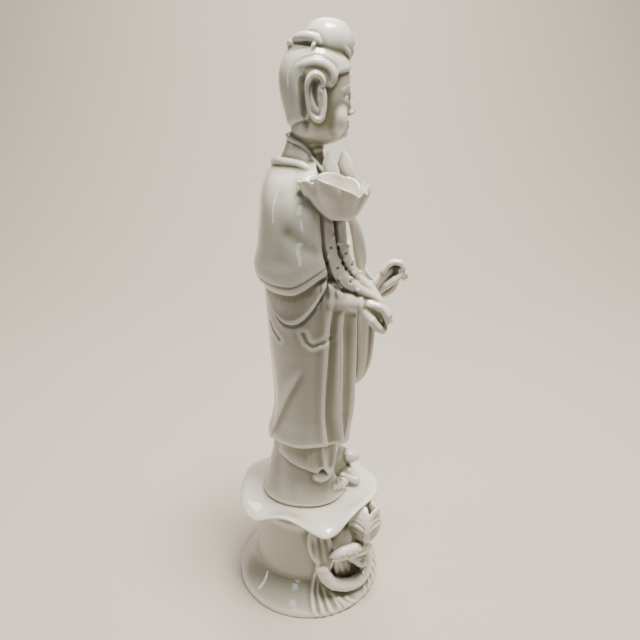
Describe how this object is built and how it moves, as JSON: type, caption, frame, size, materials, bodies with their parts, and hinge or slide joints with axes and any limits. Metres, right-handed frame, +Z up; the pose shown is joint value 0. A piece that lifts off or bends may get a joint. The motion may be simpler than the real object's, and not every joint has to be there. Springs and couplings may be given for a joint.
{
  "type": "guanyin figure on a lotus plinth",
  "caption": "Standing robed guanyin in glazed porcelain, holding a spray of lotus leaf and buds, on a round lotus-leaf plinth.",
  "frame": {"origin": "centre of the plinth's round underside, on the surface it stands on", "axes": "+Z up through the figure; -Y is the way the figure faces; +X is the figure's left-hand side"},
  "size_m": [0.1665, 0.1818, 0.61],
  "materials": {
    "porcelain": "glossy ivory-white glaze over white porcelain"
  },
  "bodies": {
    "root": {"guanyin_figure": "porcelain", "lotus_plinth": "porcelain"}
  },
  "joints": []
}
